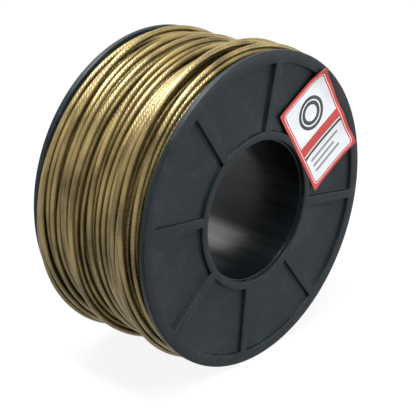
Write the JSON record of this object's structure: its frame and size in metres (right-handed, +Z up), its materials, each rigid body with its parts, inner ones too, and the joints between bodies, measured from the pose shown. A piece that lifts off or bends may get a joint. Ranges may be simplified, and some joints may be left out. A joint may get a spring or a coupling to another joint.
{
  "type": "spool of plastic-coated wire rope",
  "caption": "Moulded plastic spool with ribbed flanges and a wide through bore, wound full with clear gold-tinted plastic-coated steel wire rope, with a paper label on the front flange.",
  "frame": {"origin": "on the floor, under the middle of the spool, which lies on its rims", "axes": "+Z up, Y along the spool's axis, -Y towards the labelled front flange, +X to the right as the label is seen from the front"},
  "size_m": [0.24, 0.1153, 0.24],
  "materials": {
    "moulded_plastic": "moulded black polypropylene with a soft sheen",
    "coated_rope": "clear gold-tinted PVC coat over bright galvanised steel strands",
    "label_paper": "semi-gloss printed paper, white with a red border and a black band"
  },
  "bodies": {
    "root": {"front_flange": "moulded_plastic", "back_flange": "moulded_plastic", "barrel": "moulded_plastic", "rope_coil": "coated_rope", "label": "label_paper"}
  },
  "joints": []
}
